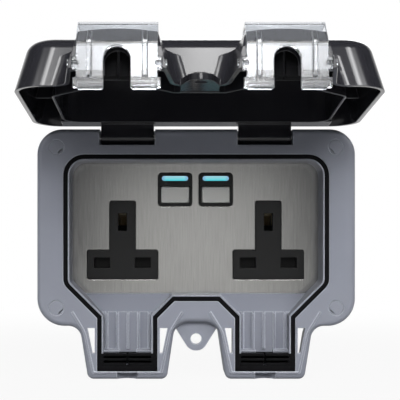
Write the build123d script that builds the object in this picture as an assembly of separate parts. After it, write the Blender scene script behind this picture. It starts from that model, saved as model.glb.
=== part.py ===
"""Outdoor weatherproof double socket: wall box, hinged lid, latch clips and a 13 A socket module.

Frame: millimetres, +X right, +Z up, the wall face at Y = 0 and the front towards -Y.
Depths are distances from the wall. The lid is drawn shut and then swung open to its rest angle.
"""
import os
from math import cos, radians, tan

from build123d import *

# Enclosure outline, seen from the front
BODY_HALF = 84.0
BODY_TOP = 52.0
BODY_BOTTOM = -50.0
FLANK_BOTTOM = -52.0
TOP_CORNER = 13.3
BOTTOM_CORNER = 14.5
LEG_X = 36.35
LEG_ROOT_HALF = 25.3
LEG_FOOT_HALF = 20.8
LEG_BOTTOM = -80.0
LEG_ROOT_ROUND = 7.0
ARCH_ROUND = 8.0
FOOT_ROUND = 3.5

# Depths from the wall
BOX_RIM = 39.0
SEAL_THICK = 1.0
PLATE_FRONT = 42.0
FRAME_FRONT = 64.0
CHANNEL_FLOOR = 53.0

# Back box
BOX_WALL = 2.6
BACK_WALL = 3.0
BOX_EDGE_ROUND = 1.5
WALL_HOLE_R = 2.6
WALL_HOLE_X = 66.0
WALL_HOLE_Z = 28.0
KNOCKOUT_R = 10.2
KNOCKOUT_DEPTH = 1.0
KNOCKOUT_X = 32.0
POST_R = 5.5
YOKE_POST_R = 3.4

# Front frame
FRAME_WALL = 2.4
FACE_WALL = 3.0
FRONT_ROUND = 2.6
SCREW_SIDE = 10.3
SCREW_Z = 42.45
SCREW_R = 1.9
SCREW_HEAD_R = 3.4
SCREW_HEAD = 2.4
SCREW_LENGTH = 34.0
SCREW_SEAT = 57.0
CAP_R = 3.8
CAP_THICK = 1.4
CAP_WALL = 1.0
CAP_SLIT = (3.0, 0.7)
CAP_SLIT_OUT = 2.0
DRIVER_SLOT = (4.4, 0.9)
DRIVER_DEPTH = 1.0
FIT = 0.1
THREAD_FIT = 0.03
OVERRUN = 1.0

# Opening, gasket and cable outlets
OPEN_SIDE = 17.1
OPEN_TOP = 35.4
OPEN_BOTTOM = -35.6
OPEN_CORNER = 8.0
SHOULDER_Z = -28.6
SHOULDER_ROUND = 4.0
CHANNEL_HALF = 12.7
CHANNEL_BOTTOM = -72.6
SHELF_END = -45.0
LIP = 0.8
GASKET_WIDTH = 2.4
GASKET_HEIGHT = 2.4
RIB_COUNT = 5
RIB_PITCH = 5.65
RIB_WIDTH = 1.2
RIB_HEIGHT = 1.8
RIB_END = -64.8
SEAL_TOP = -66.4
SEAL_LEDGE = 1.4
SEAL_LEDGE_HEIGHT = 5.0
SEAL_NOTCH_HALF = 4.6
SEAL_BASE = 3.0
SEAL_FINS = 3
SEAL_FIN = 1.2
SEAL_RIM = 2.0
CABLE_R = 5.4
SLOT_INNER = 17.2
SLOT_TOP = -53.0
SLOT_TOP_OUTER = 21.2
SLOT_FOOT = -66.2
SLOT_FOOT_OUTER = 18.5
RIDGE_WIDTH = 1.1
RIDGE_HEIGHT = 0.6
RIDGE_ROUND = 14.0
RIDGE_START = (29.0, -44.5)
RIDGE_BEND = (22.6, -55.0)
RIDGE_END = 17.9

# Padlock lug and tab
EYE_Z = -59.0
EYE_R = 2.9
LUG_R = 6.2
LUG_ROOT_HALF = 13.3
LUG_FRONT = 60.0
LUG_THICK = 4.0
TAB_HALF = 9.0
TAB_THICK = 3.0
TAB_NOTCH = 6.5

# Lid hinge
HINGE_Z = 47.5
HINGE_DEPTH = 57.6
PIN_R = 1.5
PIN_FIT = 0.05
KNUCKLE_R = 3.5
ARM_HALF = 14.0
ARM_SIDE_GAP = 0.65
POCKET_BOTTOM = 43.6
POCKET_BACK = 50.0
POCKET_WALL = 2.4
OPEN_ANGLE = 95.4

# Lid shell
LID_GAP = 0.8
LID_DEPTH = 24.0
LID_LEG_DEPTH = 19.5
LID_WALL = 2.0
LID_SIDE = 2.0
LID_BOTTOM = -51.5
LID_CORNER = 15.0
LID_INSET = 6.0
LID_LEG_INSET = 5.2
LEG_CROWN_R = 81.0
FLARE_SPAN = 1.2
LID_FRONT_ROUND = 7.0
LID_EAR_END = -87.2
LID_EAR_HALF = 21.2
LID_EAR_FRONT = 71.2
LID_END_Z = -82.3
LID_END_WALL = 1.8
LEG_CHAMFER = 8.8
SEAL_RIB = 1.1
CROSS_RIB = 1.5
CROSS_RIB_Z = (16.0, -22.0)
FLANGE_THICK = 2.0
SEAL_GAP = 0.4

# Latch clips, drawn released
CLIP_HALF = 17.5
CLIP_THICK = 2.2
CLIP_GAP = 1.7
CLIP_TIP = 56.8
CLIP_TOP_Z = -58.0
CLIP_LEVER_GAP = 1.5
CLIP_PIVOT_DEPTH = 67.6
CLIP_PIN_R = 1.4
BAY_GAP = 1.9
U_HALF = 5.75
U_DEPTH = 18.3
TOOTH_LENGTH = 2.5
TOOTH_GAP = 0.6
TOOTH_INNER = 6.4
TOOTH_OUTER = 16.9
CATCH_DEPTH = 2.8
CATCH_LENGTH = 4.4
CATCH_SIDE = 0.7
CATCH_BACK = 0.4
CLIP_RIB_X = 11.9
CLIP_RIB_WIDTH = 2.0
CLIP_RIB_HEIGHT = 1.0
CLIP_RIB_STOP = 2.0
LIP_FLARE = 1.2
LIP_LENGTH = 4.0

# Socket module, with the 13 A pin layout
PLATE_EDGE_X = 1.5
PLATE_EDGE_Z = 2.0
PLATE_CORNER = 4.0
PLATE_THICK = 1.2
SOCKET_SIDE = 27.15
PIN_SPACING = 22.2
EARTH_Z = 3.1
LINE_Z = -19.1
EARTH_SLOT = (4.6, 9.6)
LINE_SLOT = (8.5, 5.7)
EARTH_PIN = (4.2, 8.2)
LINE_PIN = (6.6, 4.2)
STEM_HALF = 7.0
STEM_TOP = 14.6
BAR_HALF = 19.25
BAR_TOP = -12.1
BAR_BOTTOM = -28.1
T_ROUND = 1.0
T_PROUD = 0.4
MOULD_EDGE = 4.9
MOULD_HALF_Z = 36.0
MOULD_THICK = 3.8
SWITCH_X = 11.1
SWITCH_Z = 20.8
SWITCH_SIZE = 18.2
SWITCH_ROUND = 2.0
BUTTON_Z = 17.9
BUTTON_SIZE = (15.0, 8.6)
BUTTON_ROUND = 0.8
BUTTON_GAP = 0.3
BUTTON_PROUD = 0.8
BUTTON_FLANGE = 0.8
BUTTON_FLANGE_WIDTH = 0.8
BUTTON_TRAVEL = 1.2
PLUNGER_R = 2.0
LIGHT_Z = 26.85
LIGHT_SIZE = (14.3, 2.5)
HOUSING_INSET = 2.0
HOUSING_BACK = 14.0
HOUSING_WALL = 1.8
YOKE_SIDE = 5.0
YOKE_SCREW_R = 1.7
YOKE_HEAD_R = 3.2
YOKE_SCREW_LENGTH = 18.0
SHUTTER_THICK = 3.0
SHUTTER_GAP = 0.3
SHUTTER_SIDE = 0.7
SHUTTER_OVERLAP = 1.0
JAW_WALL = 0.9
JAW_LENGTH = 9.0
JAW_GAP = 0.6
BUS_THICK = 1.2
BOARD_SIZE = (58.0, 23.6)
BOARD_Z = 20.0
BOARD_FRONT = 29.6
BOARD_THICK = 1.6
BOARD_POST_R = 2.0
SWITCH_BODY = (6.0, 6.0, 1.4)
RELAY_SIZE = (16.0, 12.0, 9.5)
RELAY_X = 14.4
TERMINAL_X = 14.0
TERMINAL_Z = -27.0
TERMINAL_SIZE = (8.0, 9.0, 8.0)
TERMINAL_SCREW_R = 1.8

# Values worked out from the sizes above
SCREW_X = BODY_HALF - SCREW_SIDE
OPEN_HALF = BODY_HALF - OPEN_SIDE
LID_HALF = BODY_HALF + LID_SIDE
SOCKET_X = OPEN_HALF - SOCKET_SIDE
SHUTTER_HALF = PIN_SPACING / 2 + LINE_SLOT[0] / 2 + SHUTTER_OVERLAP
HOUSING_HALF_X = SOCKET_X + SHUTTER_HALF + SHUTTER_SIDE + HOUSING_WALL
HOUSING_HALF_Z = MOULD_HALF_Z - HOUSING_INSET
YOKE_X = HOUSING_HALF_X + YOKE_SIDE
MOULD_HALF_X = YOKE_X + MOULD_EDGE
PLATE_HALF_X = MOULD_HALF_X + PLATE_EDGE_X
PLATE_HALF_Z = MOULD_HALF_Z + PLATE_EDGE_Z
FRAME_BACK = BOX_RIM + SEAL_THICK
GASKET_FLOOR = FRAME_FRONT - GASKET_HEIGHT
LID_RIM = FRAME_FRONT + LID_GAP
LID_FRONT = LID_RIM + LID_DEPTH
LEG_FRONT = LID_RIM + LID_LEG_DEPTH
PLATE_BACK = PLATE_FRONT - PLATE_THICK
MOULD_BACK = PLATE_BACK - MOULD_THICK
SHUTTER_FRONT = MOULD_BACK - SHUTTER_GAP
SHUTTER_BACK = SHUTTER_FRONT - SHUTTER_THICK
JAW_FRONT = SHUTTER_BACK - JAW_GAP
CLIP_Z = LID_END_Z - CLIP_GAP
CLIP_PIVOT_Z = CLIP_Z - CLIP_THICK / 2
SIDES = {"left": -1, "right": 1}


def at(depth):
    """Sketch plane parallel to the wall: local x is X, local y is Z, facing the front."""
    return Plane(origin=(0, -depth, 0), x_dir=(1, 0, 0), z_dir=(0, -1, 0))


def slab(face, back, front):
    """A face in the front view, made solid between two depths."""
    return extrude(at(back) * face, front - back)


def block(x0, x1, z0, z1, back, front):
    return Pos((x0 + x1) / 2, -(back + front) / 2, (z0 + z1) / 2) * Box(x1 - x0, front - back, z1 - z0)


def rod(x, z, radius, back, front):
    return slab(Pos(x, z) * Circle(radius), back, front)


def cross_rod(x0, x1, depth, z, radius):
    """A round bar along X."""
    return Pos((x0 + x1) / 2, -depth, z) * Rot(0, 90, 0) * Cylinder(radius, x1 - x0)


def side_prism(points, x0, x1):
    """A profile of (depth, z) points, made solid from x0 to x1."""
    profile = make_face(Polyline(*[(-depth, z) for depth, z in points], close=True))
    side = Plane(origin=(x0, 0, 0), x_dir=(0, 1, 0), z_dir=(1, 0, 0))
    return extrude(side * profile, x1 - x0)


def mirrored(points):
    """Points of the right half, followed by their mirror images."""
    return points + [(-x, z) for x, z in reversed(points)]


def rounded_outline(points, radii):
    """A symmetrical outline from its right half and the radius at each of its corners."""
    return make_face(FilletPolyline(*mirrored(points), radius=radii + radii[::-1], close=True))


def both_sides(piece):
    return piece + mirror(piece, Plane.YZ)


def enclosure_outline(inset=0.0):
    half = [
        (BODY_HALF, BODY_TOP),
        (BODY_HALF, FLANK_BOTTOM),
        (LEG_X + LEG_ROOT_HALF, FLANK_BOTTOM),
        (LEG_X + LEG_FOOT_HALF, LEG_BOTTOM),
        (LEG_X - LEG_FOOT_HALF, LEG_BOTTOM),
        (LEG_X - LEG_ROOT_HALF, BODY_BOTTOM),
    ]
    flank_room = BODY_HALF - LEG_X - LEG_ROOT_HALF
    share = min(1, flank_room / (BOTTOM_CORNER + LEG_ROOT_ROUND))
    arch = min(ARCH_ROUND, LEG_X - LEG_ROOT_HALF)
    radii = [TOP_CORNER, BOTTOM_CORNER * share, LEG_ROOT_ROUND * share, FOOT_ROUND, FOOT_ROUND, arch]
    outline = rounded_outline(half, radii)
    return offset(outline, -inset) if inset else outline


def box_outline():
    half = [(BODY_HALF, BODY_TOP), (BODY_HALF, BODY_BOTTOM)]
    return rounded_outline(half, [TOP_CORNER, BOTTOM_CORNER])


def opening_outline():
    """The open area inside the gasket: the recess with a funnel down to each cable channel."""
    channel_top = SHOULDER_Z - (OPEN_HALF - LEG_X - CHANNEL_HALF)
    funnel_rise = OPEN_BOTTOM - channel_top
    half = [
        (OPEN_HALF, OPEN_TOP),
        (OPEN_HALF, SHOULDER_Z),
        (LEG_X + CHANNEL_HALF, channel_top),
        (LEG_X + CHANNEL_HALF, CHANNEL_BOTTOM),
        (LEG_X - CHANNEL_HALF, CHANNEL_BOTTOM),
        (LEG_X - CHANNEL_HALF, channel_top),
        (LEG_X - CHANNEL_HALF - funnel_rise, OPEN_BOTTOM),
    ]
    return rounded_outline(half, [OPEN_CORNER, SHOULDER_ROUND, 0.0, 0.0, 0.0, 0.0, 0.0])


def ring(outline, inner, outer):
    return offset(outline, outer, kind=Kind.INTERSECTION) - offset(outline, inner, kind=Kind.INTERSECTION)


def corner_places():
    return [(sx * SCREW_X, sz * SCREW_Z) for sx in (-1, 1) for sz in (-1, 1)]


def back_box():
    outer = slab(box_outline(), 0, BOX_RIM)
    outer = fillet(outer.faces().sort_by(Axis.Y)[-1].edges(), BOX_EDGE_ROUND)
    inner = slab(offset(box_outline(), -BOX_WALL), BACK_WALL, BOX_RIM)
    posts = [rod(x, z, POST_R, 0, BOX_RIM) & outer for x, z in corner_places()]
    posts += [rod(sx * YOKE_X, 0, YOKE_POST_R, 0, MOULD_BACK) for sx in SIDES.values()]
    box = outer - inner + posts
    for x, z in corner_places():
        box -= rod(x, z, SCREW_R + THREAD_FIT, SCREW_SEAT - SCREW_LENGTH - OVERRUN, BOX_RIM)
    for sx in SIDES.values():
        yoke_end = PLATE_BACK - YOKE_SCREW_LENGTH - OVERRUN
        box -= rod(sx * YOKE_X, 0, YOKE_SCREW_R + THREAD_FIT, yoke_end, MOULD_BACK)
        for sz in (-1, 1):
            box -= rod(sx * WALL_HOLE_X, sz * WALL_HOLE_Z, WALL_HOLE_R, 0, BACK_WALL)
        middle = BOX_RIM / 2
        cutter = Cylinder(KNOCKOUT_R, 2 * KNOCKOUT_DEPTH)
        box -= Pos(sx * KNOCKOUT_X, -middle, BODY_TOP) * cutter
        box -= Pos(sx * KNOCKOUT_X, -middle, BODY_BOTTOM) * cutter
        box -= Pos(sx * BODY_HALF, -middle, 0) * Rot(0, 90, 0) * cutter
    return box


def box_seal():
    """Flat rubber ring between the box rim and the frame, round the four screw posts."""
    outline = box_outline()
    return slab(offset(outline, -LIP) - offset(outline, -BOX_WALL), BOX_RIM, FRAME_BACK)


def frame_cavity():
    """The hollow behind the frame's face, with the walls, bosses and pockets left standing."""
    hollow = slab(enclosure_outline(FRAME_WALL), FRAME_BACK, FRAME_FRONT - FACE_WALL)
    wall = 2 * LIP + GASKET_WIDTH
    hollow -= slab(offset(opening_outline(), wall, kind=Kind.INTERSECTION), PLATE_FRONT, FRAME_FRONT)
    for x, z in corner_places():
        hollow -= rod(x, z, POST_R, FRAME_BACK, FRAME_FRONT)
    pocket_half = ARM_HALF + ARM_SIDE_GAP + POCKET_WALL
    for sx in SIDES.values():
        x = sx * LEG_X
        hollow -= block(
            x - pocket_half, x + pocket_half, POCKET_BOTTOM - POCKET_WALL, BODY_TOP,
            POCKET_BACK - POCKET_WALL, FRAME_FRONT,
        )
        hollow -= block(
            x - LEG_FOOT_HALF, x + LEG_FOOT_HALF, LEG_BOTTOM, LEG_BOTTOM + CATCH_DEPTH + FRAME_WALL,
            CLIP_TIP - FRAME_WALL, FRAME_FRONT,
        )
    return hollow


def opening_cut():
    """The recess down to the plate, with a sloping shelf and a flat floor in each channel."""
    through = slab(opening_outline(), PLATE_FRONT, FRAME_FRONT + OVERRUN)
    floor = [
        (PLATE_FRONT - OVERRUN, OPEN_BOTTOM),
        (PLATE_FRONT, OPEN_BOTTOM),
        (CHANNEL_FLOOR, SHELF_END),
        (CHANNEL_FLOOR, LEG_BOTTOM),
        (PLATE_FRONT - OVERRUN, LEG_BOTTOM),
    ]
    return through - side_prism(floor, -BODY_HALF, BODY_HALF)


def channel_ribs(x):
    """Ribs on a channel's floor and the notched ledge that holds the cable seal."""
    first = x - RIB_PITCH * (RIB_COUNT - 1) / 2
    ribs = []
    for i in range(RIB_COUNT):
        rib_x = first + i * RIB_PITCH
        top = CHANNEL_FLOOR + RIB_HEIGHT
        profile = [
            (CHANNEL_FLOOR, SHELF_END),
            (top, SHELF_END - RIB_HEIGHT / 2),
            (top, RIB_END),
            (CHANNEL_FLOOR, RIB_END),
        ]
        ribs.append(side_prism(profile, rib_x - RIB_WIDTH / 2, rib_x + RIB_WIDTH / 2))
    ledge_front = CHANNEL_FLOOR + SEAL_LEDGE_HEIGHT
    for sx in SIDES.values():
        ends = [x + sx * SEAL_NOTCH_HALF, x + sx * CHANNEL_HALF]
        ledge_top = SEAL_TOP + SEAL_LEDGE
        ribs.append(block(min(ends), max(ends), SEAL_TOP, ledge_top, CHANNEL_FLOOR, ledge_front))
    return ribs


def leg_ridge(x, side):
    """Curved bead on a leg's face, from the body down to the foot, on one side of the outlet."""
    points = [RIDGE_START, RIDGE_BEND, (RIDGE_END, LEG_BOTTOM + FOOT_ROUND)]
    line = FilletPolyline(*[(x + side * away, z) for away, z in points], radius=[RIDGE_ROUND])
    return slab(trace(line, RIDGE_WIDTH), FRAME_FRONT, FRAME_FRONT + RIDGE_HEIGHT)


def foot_bead(x, side):
    """Straight bead over the clip's catch, on one side of the outlet."""
    inner = x + side * (CABLE_R + FIT)
    outer = x + side * RIDGE_END
    base = LEG_BOTTOM + FOOT_ROUND - RIDGE_WIDTH / 2
    top = FRAME_FRONT + RIDGE_HEIGHT
    return block(min(inner, outer), max(inner, outer), base, base + RIDGE_WIDTH, FRAME_FRONT, top)


def leg_cuts(x):
    """Drain slots, clip catches and the cable notch of one leg."""
    cuts = []
    for side in SIDES.values():
        corners = [
            (x + side * SLOT_INNER, SLOT_TOP),
            (x + side * SLOT_TOP_OUTER, SLOT_TOP),
            (x + side * SLOT_FOOT_OUTER, SLOT_FOOT),
            (x + side * SLOT_INNER, SLOT_FOOT),
        ]
        cuts.append(slab(make_face(Polyline(*corners, close=True)), FRAME_BACK, FRAME_FRONT + OVERRUN))
        inner = x + side * (TOOTH_INNER - CATCH_SIDE)
        outer = x + side * (TOOTH_OUTER + CATCH_SIDE)
        cuts.append(
            block(
                min(inner, outer), max(inner, outer), LEG_BOTTOM - OVERRUN, LEG_BOTTOM + CATCH_DEPTH,
                CLIP_TIP - CATCH_BACK, CLIP_TIP - CATCH_BACK + CATCH_LENGTH,
            )
        )
    notch_top = CHANNEL_BOTTOM - 2 * LIP - GASKET_WIDTH
    height = notch_top - LEG_BOTTOM + 2 * OVERRUN
    cuts.append(Pos(x, -FRAME_FRONT, notch_top - height / 2) * Cylinder(CABLE_R, height))
    return cuts


def seal_step(x):
    """What is cut off the channel's lip for the rim of the cable seal."""
    half = CHANNEL_HALF + LIP
    back = FRAME_FRONT - SEAL_RIM
    return block(x - half, x + half, CHANNEL_BOTTOM - LIP, SEAL_TOP, back, FRAME_FRONT + OVERRUN)


def padlock_lug():
    root = Pos(0, BODY_BOTTOM + OVERRUN) * Rectangle(2 * LUG_ROOT_HALF, OVERRUN)
    outline = make_hull((Pos(0, EYE_Z) * Circle(LUG_R)).edges() + root.edges())
    return slab(outline, LUG_FRONT - LUG_THICK, LUG_FRONT)


def front_frame():
    frame = slab(enclosure_outline(), FRAME_BACK, FRAME_FRONT)
    frame = fillet(frame.faces().sort_by(Axis.Y)[0].edges(), FRONT_ROUND)
    frame -= frame_cavity()
    frame -= opening_cut()
    frame -= slab(ring(opening_outline(), LIP, LIP + GASKET_WIDTH), GASKET_FLOOR, FRAME_FRONT + OVERRUN)
    frame += padlock_lug()
    frame -= rod(0, EYE_Z, EYE_R, 0, FRAME_FRONT)
    for sx in SIDES.values():
        x = sx * LEG_X
        frame += channel_ribs(x)
        frame += [leg_ridge(x, side) for side in SIDES.values()]
        frame += [foot_bead(x, side) for side in SIDES.values()]
        frame -= leg_cuts(x)
        frame -= seal_step(x)
        half = ARM_HALF + ARM_SIDE_GAP
        pocket_top = BODY_TOP + OVERRUN
        frame -= block(x - half, x + half, POCKET_BOTTOM, pocket_top, POCKET_BACK, FRAME_FRONT + OVERRUN)
        pin_half = half + POCKET_WALL
        frame -= cross_rod(x - pin_half, x + pin_half, HINGE_DEPTH, HINGE_Z, PIN_R + THREAD_FIT)
    for x, z in corner_places():
        frame -= rod(x, z, SCREW_R + FIT, FRAME_BACK, FRAME_FRONT)
        frame -= rod(x, z, CAP_R + FIT, SCREW_SEAT, FRAME_FRONT + OVERRUN)
    return frame


def driver_slot(x, z, back):
    """The screwdriver slot of one screw, cut to its depth from its back."""
    length, width = DRIVER_SLOT
    return slab(Pos(x, z) * Rectangle(length, width), back, back + DRIVER_DEPTH)


def frame_screws():
    screws = []
    for x, z in corner_places():
        top = SCREW_SEAT + SCREW_HEAD
        screw = rod(x, z, SCREW_R, SCREW_SEAT - SCREW_LENGTH, top)
        screw += rod(x, z, SCREW_HEAD_R, SCREW_SEAT, top)
        screws.append(screw - driver_slot(x, z, top - DRIVER_DEPTH))
    return screws


def screw_caps():
    """Discs over the corner screws, each on a hollow stem, with a slit to prise it out."""
    caps = []
    for x, z in corner_places():
        cap = rod(x, z, CAP_R, FRAME_FRONT - CAP_THICK, FRAME_FRONT)
        cap += rod(x, z, CAP_R, SCREW_SEAT + SCREW_HEAD, FRAME_FRONT - CAP_THICK)
        cap -= rod(x, z, CAP_R - CAP_WALL, SCREW_SEAT, FRAME_FRONT - CAP_THICK)
        inward = -1 if x > 0 else 1
        place = Pos(x + inward * CAP_SLIT_OUT, z - CAP_SLIT_OUT) * Rot(0, 0, inward * 45)
        slit = place * Rectangle(*CAP_SLIT)
        cap -= slab(slit, FRAME_FRONT - CAP_THICK, FRAME_FRONT)
        caps.append(cap)
    return caps


def lid_gasket():
    return slab(ring(opening_outline(), LIP, LIP + GASKET_WIDTH), GASKET_FLOOR, FRAME_FRONT)


def seal_block(x, back, front, base_at_back):
    """Rubber cable seal: a base strip with thin fins across the channel and a slit in the middle."""
    half = CHANNEL_HALF - FIT
    bottom = CHANNEL_BOTTOM + FIT
    top = SEAL_TOP - FIT
    base = (back, back + SEAL_BASE) if base_at_back else (front - SEAL_BASE, front)
    seal = block(x - half, x + half, bottom, top, *base)
    pitch = (top - bottom - SEAL_FIN) / (SEAL_FINS - 1)
    for i in range(SEAL_FINS):
        z = bottom + i * pitch
        seal += block(x - half, x + half, z, z + SEAL_FIN, back, front)
    slit = (base[1], front) if base_at_back else (back, base[0])
    seal -= block(x - SEAL_FIN / 2, x + SEAL_FIN / 2, bottom, top, *slit)
    return seal


def frame_seal(x):
    """The frame's cable seal, with a rim that caps the channel's lip on three sides."""
    front = FRAME_FRONT - FIT
    half = CHANNEL_HALF + LIP
    inner = CHANNEL_HALF - FIT
    top = SEAL_TOP - FIT
    back = FRAME_FRONT - SEAL_RIM
    rim = block(x - half, x + half, CHANNEL_BOTTOM - LIP, top, back, front)
    rim -= block(x - inner, x + inner, CHANNEL_BOTTOM + FIT, top, back, front)
    return seal_block(x, CHANNEL_FLOOR, front, True) + rim


def t_outline(x, grow=0.0):
    """T-shaped front of one socket."""
    half = [(STEM_HALF, STEM_TOP), (STEM_HALF, BAR_TOP), (BAR_HALF, BAR_TOP), (BAR_HALF, BAR_BOTTOM)]
    outline = Pos(x, 0) * rounded_outline(half, [T_ROUND, 0.0, T_ROUND, T_ROUND])
    return offset(outline, grow) if grow else outline


def switch_outline(x, grow=0.0):
    side = SWITCH_SIZE + 2 * grow
    return Pos(x, SWITCH_Z) * RectangleRounded(side, side, SWITCH_ROUND)


def button_outline(x, grow=0.0):
    width, height = BUTTON_SIZE
    return Pos(x, BUTTON_Z) * RectangleRounded(width + 2 * grow, height + 2 * grow, BUTTON_ROUND)


def light_outline(x, grow=0.0):
    width, height = LIGHT_SIZE
    return Pos(x, LIGHT_Z) * SlotOverall(width + 2 * grow, height + 2 * grow)


def face_plate():
    outline = RectangleRounded(2 * PLATE_HALF_X, 2 * PLATE_HALF_Z, PLATE_CORNER)
    for sx in SIDES.values():
        outline -= t_outline(sx * SOCKET_X, FIT)
        outline -= switch_outline(sx * SWITCH_X, FIT)
    return slab(outline, PLATE_BACK, PLATE_FRONT)


def pin_slots(x):
    """Earth, line and neutral slots of one socket, as faces."""
    earth = Pos(x, EARTH_Z) * Rectangle(*EARTH_SLOT)
    pins = [Pos(x + side * PIN_SPACING / 2, LINE_Z) * Rectangle(*LINE_SLOT) for side in SIDES.values()]
    return [earth] + pins


def socket_moulding():
    """Black front of the module, standing through the plate as two T fronts and two switch surrounds."""
    front = PLATE_FRONT + T_PROUD
    flange = RectangleRounded(2 * MOULD_HALF_X, 2 * MOULD_HALF_Z, PLATE_CORNER)
    mould = slab(flange, MOULD_BACK, PLATE_BACK)
    for sx in SIDES.values():
        mould += slab(t_outline(sx * SOCKET_X), PLATE_BACK, front)
        mould += slab(switch_outline(sx * SWITCH_X), PLATE_BACK, front)
    pocket = BUTTON_FLANGE_WIDTH + BUTTON_GAP
    for sx in SIDES.values():
        for slot in pin_slots(sx * SOCKET_X):
            mould -= slab(slot, MOULD_BACK, front)
        mould -= slab(button_outline(sx * SWITCH_X, BUTTON_GAP), MOULD_BACK, front)
        mould -= slab(button_outline(sx * SWITCH_X, pocket), MOULD_BACK, button_flange_front() + BUTTON_GAP)
        mould -= slab(light_outline(sx * SWITCH_X, FIT), MOULD_BACK, front)
        mould -= rod(sx * YOKE_X, 0, YOKE_SCREW_R + FIT, MOULD_BACK, PLATE_BACK)
        mould -= rod(sx * YOKE_X, 0, YOKE_HEAD_R + FIT, PLATE_BACK - SCREW_HEAD, PLATE_BACK)
    return mould


def button_flange_front():
    return MOULD_BACK + BUTTON_TRAVEL + BUTTON_FLANGE


def button(x):
    """Push button: cap, retaining flange and the plunger that reaches for the press switch."""
    flange_front = button_flange_front()
    cap = slab(button_outline(x), flange_front, PLATE_FRONT + T_PROUD + BUTTON_PROUD)
    cap = fillet(cap.faces().sort_by(Axis.Y)[0].edges(), BUTTON_ROUND / 2)
    flange = slab(button_outline(x, BUTTON_FLANGE_WIDTH), flange_front - BUTTON_FLANGE, flange_front)
    switch_top = BOARD_FRONT + SWITCH_BODY[2]
    plunger = rod(x, BUTTON_Z, PLUNGER_R, switch_top + BUTTON_TRAVEL + BUTTON_GAP, flange_front)
    return cap + flange + plunger


def light_bar(x):
    """Clear bar that carries the indicator light from the board to the switch surround."""
    return slab(light_outline(x), BOARD_FRONT, PLATE_FRONT + T_PROUD)


def shutter(x):
    """Sliding shutter: a bar behind the line and neutral slots, with a ramp below the earth slot."""
    bar_half = LINE_SLOT[1] / 2 + SHUTTER_OVERLAP
    bar = slab(Pos(x, LINE_Z) * Rectangle(2 * SHUTTER_HALF, 2 * bar_half), SHUTTER_BACK, SHUTTER_FRONT)
    stem_half = EARTH_SLOT[0] / 2 + SHUTTER_OVERLAP
    ramp_foot = EARTH_Z - EARTH_SLOT[1] / 2
    ramp = [
        (SHUTTER_BACK, LINE_Z),
        (SHUTTER_FRONT, LINE_Z),
        (SHUTTER_FRONT, ramp_foot),
        (SHUTTER_BACK, ramp_foot + SHUTTER_THICK),
    ]
    return bar + side_prism(ramp, x - stem_half, x + stem_half)


def jaw(x, z, size, back):
    """Folded contact: a square sleeve that grips one pin."""
    width, height = size
    outline = Rectangle(width + 2 * JAW_WALL, height + 2 * JAW_WALL) - Rectangle(width, height)
    return slab(Pos(x, z) * outline, back, JAW_FRONT)


def earth_bar():
    back = JAW_FRONT - JAW_LENGTH
    bus_half = EARTH_PIN[1] / 4
    bar = block(-SOCKET_X, SOCKET_X, EARTH_Z - bus_half, EARTH_Z + bus_half, back - BUS_THICK, back)
    for sx in SIDES.values():
        bar += jaw(sx * SOCKET_X, EARTH_Z, EARTH_PIN, back)
        half_x = EARTH_PIN[0] / 2 + JAW_WALL
        half_z = EARTH_PIN[1] / 2 + JAW_WALL
        x = sx * SOCKET_X
        bar += block(x - half_x, x + half_x, EARTH_Z - half_z, EARTH_Z + half_z, back - BUS_THICK, back)
    return bar


def neutral_bar():
    back = JAW_FRONT - JAW_LENGTH - 2 * BUS_THICK
    places = [sx * SOCKET_X - PIN_SPACING / 2 for sx in SIDES.values()]
    half = LINE_PIN[1] / 2 + JAW_WALL
    bar = block(places[0] - half, places[1] + half, LINE_Z - half, LINE_Z + half, back - BUS_THICK, back)
    for x in places:
        bar += jaw(x, LINE_Z, LINE_PIN, back)
    return bar


def line_contact(x):
    """Line jaw of one socket, closed at its back by a plate with a solder tab."""
    back = JAW_FRONT - JAW_LENGTH
    centre = x + PIN_SPACING / 2
    half_x = LINE_PIN[0] / 2 + JAW_WALL
    half_z = LINE_PIN[1] / 2 + JAW_WALL
    contact = jaw(centre, LINE_Z, LINE_PIN, back)
    tab_top = LINE_Z + half_z + JAW_LENGTH
    contact += block(centre - half_x, centre + half_x, LINE_Z - half_z, tab_top, back - BUS_THICK, back)
    return contact


def rear_housing():
    """Closed back of the module, with a pillar behind each contact and four posts for the board."""
    outline = RectangleRounded(2 * HOUSING_HALF_X, 2 * HOUSING_HALF_Z, PLATE_CORNER)
    inner_x = 2 * (HOUSING_HALF_X - HOUSING_WALL)
    inner_z = 2 * (HOUSING_HALF_Z - HOUSING_WALL)
    floor = HOUSING_BACK + HOUSING_WALL
    housing = slab(outline, HOUSING_BACK, MOULD_BACK)
    housing -= slab(RectangleRounded(inner_x, inner_z, PLATE_CORNER - HOUSING_WALL), floor, MOULD_BACK)
    jaw_back = JAW_FRONT - JAW_LENGTH
    half = LINE_PIN[1] / 2
    for sx in SIDES.values():
        x = sx * SOCKET_X
        housing += block(x - half, x + half, EARTH_Z - half, EARTH_Z + half, floor, jaw_back - BUS_THICK)
        line_x = x + PIN_SPACING / 2
        tab_z = LINE_Z + half + JAW_WALL + JAW_LENGTH / 2
        housing += block(line_x - half, line_x + half, tab_z, tab_z + half, floor, jaw_back - BUS_THICK)
        pole_x = x - PIN_SPACING / 2
        pole_end = jaw_back - 3 * BUS_THICK
        housing += block(pole_x - half, pole_x + half, LINE_Z - half, LINE_Z + half, floor, pole_end)
        for sz in (-1, 1):
            post_x = sx * (BOARD_SIZE[0] / 2 - BOARD_POST_R)
            post_z = BOARD_Z + sz * (BOARD_SIZE[1] / 2 - BOARD_POST_R)
            housing += rod(post_x, post_z, BOARD_POST_R, floor, BOARD_FRONT - BOARD_THICK)
    for x in terminal_places():
        housing -= rod(x, TERMINAL_Z, TERMINAL_SCREW_R + FIT, HOUSING_BACK, floor)
    return housing


def terminal_places():
    return [i * TERMINAL_X for i in (-1, 0, 1)]


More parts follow.
